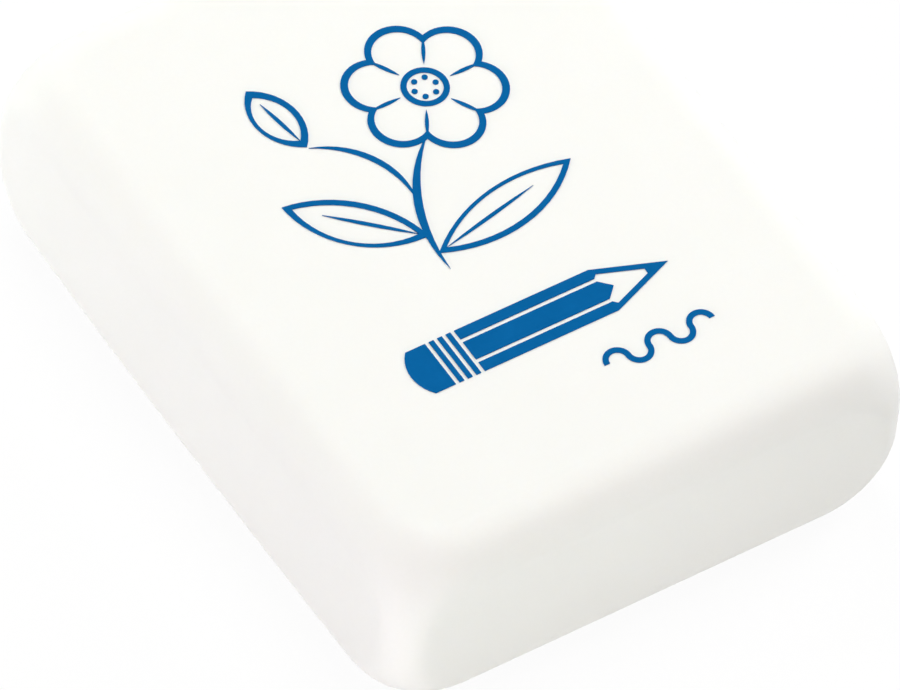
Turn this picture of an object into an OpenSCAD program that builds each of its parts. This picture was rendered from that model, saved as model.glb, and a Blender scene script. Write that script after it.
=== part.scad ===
// Moulded rubber eraser: a flat block with soft edges and a one-colour print on its top face.
// Millimetres. X runs across the block, Y from the near end to the far end, Z up from the table.
// The origin is at the middle of the underside.

/* [Block] */
// Length of the block
block_l = 29.75; // [26:0.25:60]
// Width of the block
block_w = 23.5; // [19:0.1:40]
// Thickness of the block, without the ink
block_t = 9; // [7.5:0.25:20]
// How far the middle of each long side swells outward
side_swell = 0.12; // [0.02:0.01:0.6]

/* [Soft edges] */
// Radius of the upright edges at the four corners
upright_r = 1.5; // [1:0.1:3]
// Radius of the long top and bottom edges, which run along Y
long_edge_r = 2.4; // [1:0.05:2.6]
// Radius of the short top and bottom edges, which run along X
end_edge_r = 1.2; // [1:0.05:2.3]

/* [Ink] */
// Thickness of the ink film
ink_t = 0.04; // [0.03:0.01:0.12]
// Width of a drawn line at its widest
line_w = 0.24; // [0.18:0.01:0.28]
// Bare gap between two fields of ink
gap_w = 0.17; // [0.12:0.01:0.25]

/* [Flower] */
// Middle of the flower, to the right of the middle of the top face
flower_x = 2; // [1:0.1:3]
// Middle of the flower, towards the far end from the middle of the top face
flower_y = 5.3; // [4:0.1:6.5]
// Radius of one round petal
petal_r = 1.3; // [1.15:0.05:1.5]
// Number of petals
petals = 6; // [5:1:7]
// Radius of the flower's heart
heart_r = 0.95; // [0.7:0.05:1.1]

/* [Stems and leaves] */
// How far the main stem curves away from straight
stem_rise = 0.8; // [0.4:0.1:1.2]
// How far the bud's stem curves away from straight
bud_rise = 0.9; // [0.4:0.1:1.2]
// Length of the bud
bud_l = 3.5; // [2.5:0.1:4]
// Length of the left leaf
left_leaf_l = 5.7; // [4:0.1:6.5]
// Length of the right leaf
right_leaf_l = 7; // [5:0.1:7.5]
// Width of the two leaves
leaf_w = 2.1; // [1.4:0.1:2.4]

/* [Pencil] */
// Left end of the pencil, from the middle of the top face
pencil_x = -6; // [-7:0.25:-5]
// Middle line of the pencil, from the middle of the top face
pencil_y = -6.4; // [-8:0.1:-5]
// Length of the pencil, with its point
pencil_l = 11.5; // [9:0.25:12.5]
// Thickness of the pencil
pencil_h = 2.2; // [1.6:0.1:2.8]
// Length of the rubber tip on the pencil's left end
tip_l = 1.3; // [0.8:0.1:2]
// Length of the metal band behind the rubber tip
band_l = 1.3; // [0.9:0.1:2]
// Length of the sharpened cone
cone_l = 2.9; // [2:0.1:4]

/* [Squiggle] */
// Left end of the squiggle, from the middle of the top face
squiggle_x = 0.8; // [-2:0.1:2]
// Middle line of the squiggle, from the middle of the top face
squiggle_y = -9.5; // [-10.5:0.1:-9]
// Number of half waves
half_waves = 5; // [3:1:6]
// Radius of a half wave, on the middle of its line
wave_r = 0.47; // [0.4:0.01:0.55]

/* [Hidden] */

rubber_colour = [0.97, 0.96, 0.93];
ink_colour = [0.02, 0.39, 0.64];

// Facets round each rolled disc, and steps along each swelling side
disc_facets = 40;
swell_steps = 10;
// A disc has to be a solid, so it is given this thickness
disc_t = 0.01;

// The core that the discs roll round
core_w = block_w - 2 * (upright_r + long_edge_r + side_swell) - disc_t;
core_l = block_l - 2 * (upright_r + end_edge_r) - disc_t;
core_t = block_t - 2 * (long_edge_r + end_edge_r) - disc_t;

// The petals stand on a ring. A closeness under 1 makes neighbours overlap, and they meet at the notch.
closeness = 0.75;
petal_turn = 360 / petals;
petal_ring = closeness * petal_r / sin(petal_turn / 2);
notch_r = petal_ring * cos(petal_turn / 2) + petal_r * sqrt(1 - closeness * closeness);

// The main stem runs from its foot into the ink of the notch at this angle
notch_angle = 240;
stem_foot = [-1.9, -2.7];
stem_top = [flower_x, flower_y] + (notch_r - line_w) * [cos(notch_angle), sin(notch_angle)];
// Where the bud's stem and the leaves leave the main stem, as shares of its length
fork_at = 0.5;
left_leaf_at = 0.25;
right_leaf_at = 0.12;
// Where the bud's stem ends, and the directions of the bud and the leaves
bud_foot = [-3.5, 4.9];
bud_angle = 100;
left_leaf_angle = 137;
right_leaf_angle = 12;

$fn = 96;

// The block. A core that swells a little along its long sides is rounded by three discs, one for each
// direction of edge. Every edge keeps its own radius, and the corners come out rounder than the edges.
module eraser_body() {
    color(rubber_colour)
        translate([0, 0, block_t / 2])
            minkowski() {
                swollen_core();
                rolled_disc(upright_r);
                rotate([90, 0, 0]) rolled_disc(long_edge_r);
                rotate([0, 90, 0]) rolled_disc(end_edge_r);
            }
}

module rolled_disc(r) {
    cylinder(h = disc_t, r = r, center = true, $fn = disc_facets);
}

// Half the core's width at a share s of its half length, with s from -1 to 1
function core_half_w(s) = core_w / 2 + side_swell * (1 - s * s);

module swollen_core() {
    shares = [for (i = [0:swell_steps]) 2 * i / swell_steps - 1];
    right_side = [for (s = shares) [core_half_w(s), s * core_l / 2]];
    left_side = [for (s = shares) [-core_half_w(s), -s * core_l / 2]];
    linear_extrude(core_t, center = true) polygon(concat(right_side, left_side));
}

// The print: a flower with a bud and leaves, a pencil under it, and the squiggle that the pencil drew
module top_print() {
    color(ink_colour)
        translate([0, 0, block_t])
            linear_extrude(ink_t) {
                translate([flower_x, flower_y]) rotate(notch_angle) flower();
                foliage();
                translate([pencil_x, pencil_y]) pencil();
                translate([squiggle_x, squiggle_y]) squiggle();
            }
}

// A disc whose rim passes through the origin and [l, 0] and rises to h half way between them
module disc_over(l, h) {
    r = (l * l / 4 + h * h) / (2 * h);
    translate([l / 2, h - r]) circle(r);
}

// A pointed oval along +X, with its own half width on each side
module pointed_oval(l, left_w, right_w) {
    intersection() {
        disc_over(l, left_w);
        mirror([0, 1]) disc_over(l, right_w);
    }
}

// A drawn line that curves to the left of the way from p to q, pointed at both ends
module curved_line(p, q, rise, w) {
    way = q - p;
    translate(p) rotate(atan2(way[1], way[0]))
        difference() {
            disc_over(norm(way), rise + w / 2);
            disc_over(norm(way), rise - w / 2);
        }
}

// An outlined leaf with its vein. Its outline is thinner on the left side than on the right.
module leaf(l, left_w, right_w) {
    tip = 1.6 * line_w;
    difference() {
        pointed_oval(l, left_w, right_w);
        translate([tip, 0])
            pointed_oval(l - 2 * tip, left_w - 0.6 * line_w, right_w - line_w);
    }
    translate([tip, 0]) vein(0.66 * l);
}

// A straight line, thickest half way and pointed at both ends
module vein(l) {
    pointed_oval(l, line_w / 3, line_w / 3);
}

// The petals' scalloped outline, the lines between the petals, and the heart with its seeds
module flower() {
    difference() {
        petal_discs(petal_ring, petal_r);
        petal_discs(petal_ring - line_w / 4, petal_r - line_w);
        circle(petal_ring);
    }
    for (i = [0:petals - 1])
        rotate(petal_turn * i) {
            translate([heart_r + gap_w, 0]) vein(notch_r - line_w / 2 - heart_r - gap_w);
            translate([heart_r / 2, 0]) circle(line_w / 2);
        }
    difference() {
        circle(heart_r);
        circle(heart_r - line_w);
    }
}

module petal_discs(ring, r) {
    for (i = [0:petals - 1])
        rotate(petal_turn * (i + 0.5)) translate([ring, 0]) circle(r);
}

// The stems, the bud and the leaves. The leaves start in the ink of the stem, and the bud just past its own.
module foliage() {
    curved_line(stem_foot, stem_top, stem_rise, 1.4 * line_w);
    curved_line(bud_foot, on_stem(fork_at), bud_rise, line_w);
    translate(bud_foot) rotate(bud_angle) translate([gap_w / 2, 0]) leaf(bud_l, 0.9, 0.9);
    translate(on_stem(left_leaf_at)) rotate(left_leaf_angle)
        leaf(left_leaf_l, 0.55 * leaf_w, 0.45 * leaf_w);
    translate(on_stem(right_leaf_at)) rotate(right_leaf_angle)
        leaf(right_leaf_l, 0.45 * leaf_w, 0.55 * leaf_w);
}

// A point on the main stem's middle line, at a share s of its length
function on_stem(s) = let (way = stem_top - stem_foot)
    stem_foot + s * way + 4 * s * (1 - s) * stem_rise * [-way[1], way[0]] / norm(way);

// A pencil that starts at the origin with its rubber tip and points along +X
module pencil() {
    barrel_x = tip_l + band_l;
    barrel_l = pencil_l - cone_l - barrel_x;
    facet_h = (pencil_h - 2 * gap_w) / 4;
    rubber_tip();
    translate([tip_l + gap_w, 0]) metal_band(band_l - 2 * gap_w);
    translate([barrel_x, pencil_h / 2 - facet_h]) barrel_facet(barrel_l, facet_h);
    translate([barrel_x, -facet_h]) barrel_facet(barrel_l, 2 * facet_h);
    translate([barrel_x, -pencil_h / 2]) barrel_facet(barrel_l, facet_h);
    translate([pencil_l, 0]) sharpened_cone();
}

module rubber_tip() {
    dome_r = 0.75 * pencil_h;
    intersection() {
        translate([0, -pencil_h / 2]) square([tip_l, pencil_h]);
        translate([dome_r, 0]) circle(dome_r);
    }
}

// Three rings side by side, with a bare gap between them
module metal_band(l) {
    ring_l = (l - 2 * gap_w) / 3;
    for (i = [0:2])
        translate([i * (ring_l + gap_w), -pencil_h / 2]) square([ring_l, pencil_h]);
}

// One painted side of the barrel, with the pointed end that sharpening leaves
module barrel_facet(l, h) {
    polygon([[0, 0], [l, 0], [l + h / 2, h / 2], [l, h], [0, h]]);
}

// Two lines that meet in a solid lead, with the apex at the origin
module sharpened_cone() {
    slope = pencil_h / 2 / cone_l;
    lead_l = cone_l / 3;
    polygon([[0, 0], [-lead_l, slope * lead_l], [-lead_l, -slope * lead_l]]);
    for (side = [0, 1])
        mirror([0, side])
            polygon([
                [-lead_l, slope * lead_l],
                [-cone_l, slope * cone_l],
                [-cone_l, slope * cone_l - line_w],
                [-lead_l, slope * lead_l - line_w]
            ]);
}

// A wave of half rings, turned up and down in turn
module squiggle() {
    for (i = [0:half_waves - 1])
        translate([(2 * i + 1) * wave_r, 0]) mirror([0, i % 2]) half_ring();
}

module half_ring() {
    outer_r = wave_r + line_w / 2;
    intersection() {
        difference() {
            circle(outer_r);
            circle(outer_r - line_w);
        }
        translate([-outer_r, 0]) square([2 * outer_r, outer_r]);
    }
}

eraser_body();
top_print();
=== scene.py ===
import math

import bpy
import numpy as np
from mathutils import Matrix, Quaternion, Vector


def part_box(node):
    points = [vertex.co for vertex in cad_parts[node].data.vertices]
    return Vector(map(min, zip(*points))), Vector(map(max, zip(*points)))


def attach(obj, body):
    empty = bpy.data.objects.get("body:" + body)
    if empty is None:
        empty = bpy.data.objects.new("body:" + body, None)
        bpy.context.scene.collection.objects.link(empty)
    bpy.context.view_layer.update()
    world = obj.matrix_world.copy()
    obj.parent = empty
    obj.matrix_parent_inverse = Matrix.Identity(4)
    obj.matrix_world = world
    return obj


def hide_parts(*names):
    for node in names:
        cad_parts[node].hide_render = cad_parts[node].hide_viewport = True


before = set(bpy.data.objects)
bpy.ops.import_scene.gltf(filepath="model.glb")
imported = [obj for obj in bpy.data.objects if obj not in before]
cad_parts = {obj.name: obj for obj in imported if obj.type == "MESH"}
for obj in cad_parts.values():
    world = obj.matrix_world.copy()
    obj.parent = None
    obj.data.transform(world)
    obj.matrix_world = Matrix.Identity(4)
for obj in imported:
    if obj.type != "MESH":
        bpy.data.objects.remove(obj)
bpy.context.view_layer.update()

# One millimetre in metres
MM = 0.001

block_low, block_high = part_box("eraser_body")
block_middle = (block_low + block_high) / 2


def direction(facing, climb):
    """The unit vector that faces this way round from +X and climbs at this angle from level."""
    return (
        math.cos(climb) * math.cos(facing),
        math.cos(climb) * math.sin(facing),
        math.sin(climb),
    )


# The block

# Radii in mm of the upright edges, of the long top and bottom edges, and of the short ones at the ends
UPRIGHT_R = 1.5
LONG_EDGE_R = 2.0
END_EDGE_R = 1.9
# How far in mm each long side swells outward between its two ends
SIDE_SWELL = 0.19

# Mesh steps round a quarter turn, and along the straight parts of the long sides and of the ends
TURN_STEPS = 32
SIDE_STEPS = 14
END_STEPS = 8
# A vector shorter than this points nowhere
SHORTEST = 1e-6


def eased_quarter(steps):
    """Angles from 0 to a quarter turn, closer together towards both ends."""
    return [math.pi / 4 * (1 - math.cos(math.pi * i / steps)) for i in range(steps + 1)]


def unit(p, q, upward):
    """The direction of (p, q). Where it has none it points up or down, which is the rim of a flat face."""
    size = math.hypot(p, q)
    return (p / size, q / size) if size > SHORTEST else (0.0, upward)


def outline_columns(core_x, core_y):
    """Every upright line of the mesh, as the way that it faces and its corner or place on the core."""
    corners = [(core_x, core_y), (-core_x, core_y), (-core_x, -core_y), (core_x, -core_y)]
    columns = []
    for k, (x0, y0) in enumerate(corners):
        x1, y1 = corners[(k + 1) % 4]
        columns += [(k * math.pi / 2 + turn, x0, y0) for turn in eased_quarter(TURN_STEPS)]
        steps = END_STEPS if y0 == y1 else SIDE_STEPS
        for i in range(1, steps):
            s = i / steps
            columns.append(((k + 1) * math.pi / 2, x0 + s * (x1 - x0), y0 + s * (y1 - y0)))
    return columns


def surface_point(facing, climb, upward, core):
    """The point with this facing and climb on a box core rounded by three discs, and its normal."""
    normal = direction(facing, climb)
    side_x, side_z = unit(normal[0], normal[2], upward)
    end_y, end_z = unit(normal[1], normal[2], upward)
    point = (
        core[0] + UPRIGHT_R * math.cos(facing) + LONG_EDGE_R * side_x,
        core[1] + UPRIGHT_R * math.sin(facing) + END_EDGE_R * end_y,
        upward * core[2] + LONG_EDGE_R * side_z + END_EDGE_R * end_z,
    )
    return point, normal


def swell_sides(points, normals, half):
    """Swells the long sides a little towards their middle, and turns the normals with them."""
    share = SIDE_SWELL / (half.x - SIDE_SWELL)
    swell = 1 + share * (1 - (points[:, 1] / half.y) ** 2)
    slope = -2 * share * points[:, 1] / half.y ** 2
    normals[:, 1] -= normals[:, 0] * points[:, 0] * slope / swell
    normals[:, 0] /= swell
    normals /= np.linalg.norm(normals, axis=1)[:, None]
    points[:, 0] *= swell


def ring_faces(rings, n):
    """Quads between rings of n points, and a cap on the first ring and on the last."""
    quads = [
        (r * n + c, r * n + (c + 1) % n, (r + 1) * n + (c + 1) % n, (r + 1) * n + c)
        for r in range(rings - 1)
        for c in range(n)
    ]
    bottom = tuple(reversed(range(n)))
    top = tuple(range((rings - 1) * n, rings * n))
    return quads + [bottom, top]


def block_mesh():
    """The rounded block in the solid's box, with exact normals, so that it shades without facets."""
    half = (block_high - block_low) / 2 / MM
    core_x = half.x - SIDE_SWELL - UPRIGHT_R - LONG_EDGE_R
    core_y = half.y - UPRIGHT_R - END_EDGE_R
    core_z = half.z - LONG_EDGE_R - END_EDGE_R
    columns = outline_columns(core_x, core_y)
    climbs = eased_quarter(TURN_STEPS)
    rows = [(-climb, -1) for climb in reversed(climbs)] + [(climb, 1) for climb in climbs]
    grid = [
        surface_point(facing, climb, upward, (x, y, core_z))
        for climb, upward in rows
        for facing, x, y in columns
    ]
    points = np.array([point for point, normal in grid])
    normals = np.array([normal for point, normal in grid])
    swell_sides(points, normals, half)

    mesh = bpy.data.meshes.new("block")
    places = (points * MM + np.array(block_middle)).tolist()
    mesh.from_pydata(places, [], ring_faces(len(rows), len(columns)))
    mesh.shade_smooth()
    mesh.normals_split_custom_set_from_vertices(normals.tolist())
    return mesh


# Short ways to build node trees

# The part of its range that a noise texture mostly fills
NOISE_LOW = 0.3
NOISE_HIGH = 0.7
# A Mix node has the same socket names for every kind of data, so its colour sockets go by number
MIX_FIRST = 6
MIX_SECOND = 7
MIX_RESULT = 2


def new_tree(owner):
    """An empty node tree, as one call that adds a node with its values and one that links two sockets."""
    owner.use_nodes = True
    tree = owner.node_tree
    tree.nodes.clear()

    def add(kind, values=None, **settings):
        node = tree.nodes.new(kind)
        for name, setting in settings.items():
            setattr(node, name, setting)
        for name, value in (values or {}).items():
            node.inputs[name].default_value = value
        return node

    def link(source, target):
        tree.links.new(source, target)

    return add, link


def show(add, link, surface, kind="ShaderNodeOutputMaterial"):
    """Makes this shader the one that the tree shows."""
    link(surface, add(kind).inputs["Surface"])


def noise(add, link, place, waves, detail, roughness=0.5):
    """Noise with this many waves to a millimetre."""
    node = add("ShaderNodeTexNoise", {"Scale": waves, "Detail": detail, "Roughness": roughness})
    link(place, node.inputs["Vector"])
    return node.outputs["Fac"]


def between(add, link, source, low, high):
    """Turns noise into a number between low and high."""
    ends = {"From Min": NOISE_LOW, "From Max": NOISE_HIGH, "To Min": low, "To Max": high}
    node = add("ShaderNodeMapRange", ends)
    link(source, node.inputs["Value"])
    return node.outputs["Result"]


def mixed_colour(add, link, factor, first, second):
    """The first colour where the factor is 0 and the second where it is 1, each a tuple or a socket."""
    node = add("ShaderNodeMix", data_type="RGBA")
    link(factor, node.inputs["Factor"])
    for number, colour in ((MIX_FIRST, first), (MIX_SECOND, second)):
        if isinstance(colour, tuple):
            node.inputs[number].default_value = (*colour, 1)
        else:
            link(colour, node.inputs[number])
    return node.outputs[MIX_RESULT]


def millimetres(add, link):
    """The object's own coordinates in millimetres."""
    place = add("ShaderNodeTexCoord")
    scaled = add("ShaderNodeVectorMath", {"Scale": 1 / MM}, operation="SCALE")
    link(place.outputs["Object"], scaled.inputs["Vector"])
    return scaled.outputs["Vector"]


def bump(add, link, height, depth, normal=None):
    """Raises the surface by up to depth, in millimetres."""
    node = add("ShaderNodeBump", {"Strength": 1, "Distance": depth * MM})
    link(height, node.inputs["Height"])
    if normal:
        link(normal, node.inputs["Normal"])
    return node.outputs["Normal"]


# Materials

# The rubber's two tints, and the slightly darker one of its grain, with how much of that shows at most
RUBBER_TINT = (0.925, 0.92, 0.885)
RUBBER_TINT_PALE = (0.94, 0.933, 0.9)
RUBBER_GRAIN = (0.915, 0.908, 0.875)
GRAIN_SHARE = 0.5
# The ink where it lies thick and where it lies thin
INK_THICK = (0.0003, 0.114, 0.335)
INK_THIN = (0.001, 0.126, 0.368)
# The least and the greatest roughness, which follow the grain
RUBBER_ROUGHNESS = (0.58, 0.7)
INK_ROUGHNESS = (0.5, 0.65)

# Waves to a millimetre of the rubber's clouds, of its slow unevenness, of its grain, and of the ink's cover
CLOUD_WAVES = 0.22
UNEVEN_WAVES = 0.6
GRAIN_WAVES = 7
COVER_WAVES = 1.4

# Depths in mm of the unevenness, of the rubber's grain, and of the same grain through the ink
UNEVEN_DEPTH = 0.012
GRAIN_DEPTH = 0.0025
INKED_GRAIN_DEPTH = 0.002


def grain_noise(add, link, place):
    """The grain from the mould, which the rubber and the ink on it share."""
    return noise(add, link, place, GRAIN_WAVES, detail=4, roughness=0.6)


def rubber_material():
    """Cream white, matt moulded rubber: faintly cloudy, with a fine grain from the mould."""
    material = bpy.data.materials.new("white_rubber")
    add, link = new_tree(material)
    place = millimetres(add, link)
    clouds = noise(add, link, place, CLOUD_WAVES, detail=3)
    grain = grain_noise(add, link, place)
    uneven = noise(add, link, place, UNEVEN_WAVES, detail=2)
    shader = add("ShaderNodeBsdfPrincipled", {
        "Specular IOR Level": 0.2,
        "Subsurface Weight": 0.15,
        "Subsurface Radius": (1.0, 0.9, 0.75),
        "Subsurface Scale": 0.25 * MM,
    })
    tint = mixed_colour(add, link, between(add, link, clouds, 0, 1), RUBBER_TINT, RUBBER_TINT_PALE)
    grained = mixed_colour(add, link, between(add, link, grain, 0, GRAIN_SHARE), tint, RUBBER_GRAIN)
    link(grained, shader.inputs["Base Color"])
    link(between(add, link, grain, *RUBBER_ROUGHNESS), shader.inputs["Roughness"])
    normal = bump(add, link, uneven, UNEVEN_DEPTH)
    link(bump(add, link, grain, GRAIN_DEPTH, normal), shader.inputs["Normal"])
    show(add, link, shader.outputs["BSDF"])
    return material


def ink_material():
    """One pass of blue printing ink, a little uneven, that follows the grain of the rubber."""
    material = bpy.data.materials.new("blue_ink")
    add, link = new_tree(material)
    place = millimetres(add, link)
    cover = noise(add, link, place, COVER_WAVES, detail=4, roughness=0.65)
    grain = grain_noise(add, link, place)
    shader = add("ShaderNodeBsdfPrincipled", {"Specular IOR Level": 0.02})
    tint = mixed_colour(add, link, between(add, link, cover, 0, 1), INK_THICK, INK_THIN)
    link(tint, shader.inputs["Base Color"])
    link(between(add, link, grain, *INK_ROUGHNESS), shader.inputs["Roughness"])
    link(bump(add, link, grain, INKED_GRAIN_DEPTH), shader.inputs["Normal"])
    show(add, link, shader.outputs["BSDF"])
    return material


def set_material(piece, material):
    piece.data.materials.clear()
    piece.data.materials.append(material)


# The pieces

block = bpy.data.objects.new("block", block_mesh())
bpy.context.scene.collection.objects.link(block)
set_material(block, rubber_material())
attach(block, "root")
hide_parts("eraser_body")
set_material(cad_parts["top_print"], ink_material())


# The stage: a white table and a white surround

# The share of the light and shade on the table that is seen. The rest of what is seen of it is plain white.
TABLE_SHADE = 0.06
# The share of the light on the table that it gives back to the block
TABLE_ALBEDO = 0.75
# How far the table reaches each way from the middle, in metres
TABLE_REACH = 3.0


def seen_directly(add, link):
    """1 for a ray from the camera, from a gloss or through a clear material, and otherwise 0."""
    path = add("ShaderNodeLightPath")
    total = path.outputs["Is Camera Ray"]
    for name in ("Is Glossy Ray", "Is Transmission Ray"):
        larger = add("ShaderNodeMath", operation="MAXIMUM")
        link(total, larger.inputs[0])
        link(path.outputs[name], larger.inputs[1])
        total = larger.outputs["Value"]
    return total


def mixed_shader(add, link, factor, first, second):
    """The first shader where the factor is 0 and the second where it is 1."""
    node = add("ShaderNodeMixShader")
    if isinstance(factor, float):
        node.inputs["Fac"].default_value = factor
    else:
        link(factor, node.inputs["Fac"])
    link(first, node.inputs[1])
    link(second, node.inputs[2])
    return node.outputs["Shader"]


def diffuse(add, level):
    """A grey matt surface that gives back this share of the light on it."""
    return add("ShaderNodeBsdfDiffuse", {"Color": (level, level, level, 1)}).outputs["BSDF"]


def table_material():
    """White with a faint shadow where it is seen, and pale grey for the light that it gives back."""
    material = bpy.data.materials.new("white_table")
    add, link = new_tree(material)
    white = add("ShaderNodeEmission").outputs["Emission"]
    shown = mixed_shader(add, link, TABLE_SHADE, white, diffuse(add, 1.0))
    surface = mixed_shader(add, link, seen_directly(add, link), diffuse(add, TABLE_ALBEDO), shown)
    show(add, link, surface)
    return material


def make_table():
    """One square, on which the block stands."""
    corners = [(x * TABLE_REACH, y * TABLE_REACH, 0) for x, y in ((-1, -1), (1, -1), (1, 1), (-1, 1))]
    mesh = bpy.data.meshes.new("table")
    mesh.from_pydata(corners, [], [(0, 1, 2, 3)])
    table = bpy.data.objects.new("table", mesh)
    bpy.context.scene.collection.objects.link(table)
    set_material(table, table_material())


def make_surround():
    """White for the rays that see it directly, and black for all others."""
    world = bpy.data.worlds.new("surround")
    bpy.context.scene.world = world
    add, link = new_tree(world)
    white = add("ShaderNodeBackground", {"Color": (1, 1, 1, 1)})
    link(seen_directly(add, link), white.inputs["Strength"])
    show(add, link, white.outputs["Background"], "ShaderNodeOutputWorld")


# Softboxes, all turned to the middle of the block: name, place in mm, side in mm, power in watts, colour
LAMPS = [
    ("overhead", (30, 20, 380), 210, 0.45, (1.00, 0.95, 0.90)),
    ("overhead_back", (60, 240, 300), 150, 0.65, (0.93, 1.00, 0.98)),
    ("right", (300, 0, 300), 150, 0.43, (1.00, 0.96, 1.00)),
    ("right_low", (338, 90, 190), 120, 0.45, (0.94, 0.99, 1.00)),
    ("front", (0, -376, 57), 210, 0.435, (1.00, 0.96, 1.00)),
    ("front_near", (-14, -60, 12), 20, 0.0056, (0.94, 1.00, 0.92)),
    ("left", (-376, 0, 57), 210, 0.955, (0.99, 0.93, 1.00)),
    ("left_near", (-60, 40, 14), 30, 0.0066, (0.83, 1.00, 0.86)),
]


def make_lamp(name, place, side, power, colour):
    """A square softbox that the camera doesn't see."""
    light = bpy.data.lights.new(name, "AREA")
    light.shape = "SQUARE"
    light.size = side * MM
    light.energy = power
    light.color = colour
    lamp = bpy.data.objects.new(name, light)
    lamp.location = Vector(place) * MM
    lamp.visible_camera = False
    lamp.rotation_euler = (block_middle - lamp.location).to_track_quat("-Z", "Y").to_euler()
    bpy.context.scene.collection.objects.link(lamp)


make_table()
make_surround()
for lamp in LAMPS:
    make_lamp(*lamp)


# The camera: a long lens from above one corner

# What it looks at, in mm from the middle of the block
CAMERA_AIM = (-1.707, -2.92, 0)
# Where it stands from there: degrees round from +X, degrees up from level, and mm away
CAMERA_AZIMUTH = -127.17
CAMERA_ELEVATION = 51.32
CAMERA_DISTANCE = 600
# How many degrees it is turned about its line of sight
CAMERA_ROLL = 6.24
# Focal length and film width in mm
CAMERA_LENS = 631.4
FILM_WIDTH = 36
# How near in mm it can see
NEAR_LIMIT = 10


def make_camera():
    data = bpy.data.cameras.new("camera")
    data.lens = CAMERA_LENS
    data.sensor_fit = "HORIZONTAL"
    data.sensor_width = FILM_WIDTH
    data.clip_start = NEAR_LIMIT * MM
    camera = bpy.data.objects.new("camera", data)
    outward = Vector(direction(math.radians(CAMERA_AZIMUTH), math.radians(CAMERA_ELEVATION)))
    camera.location = block_middle + (Vector(CAMERA_AIM) + CAMERA_DISTANCE * outward) * MM
    level = (-outward).to_track_quat("-Z", "Y")
    camera.rotation_mode = "QUATERNION"
    camera.rotation_quaternion = level @ Quaternion((0, 0, 1), math.radians(CAMERA_ROLL))
    bpy.context.scene.collection.objects.link(camera)
    bpy.context.scene.camera = camera


make_camera()
bpy.context.scene.view_settings.view_transform = "Standard"

bpy.context.view_layer.update()
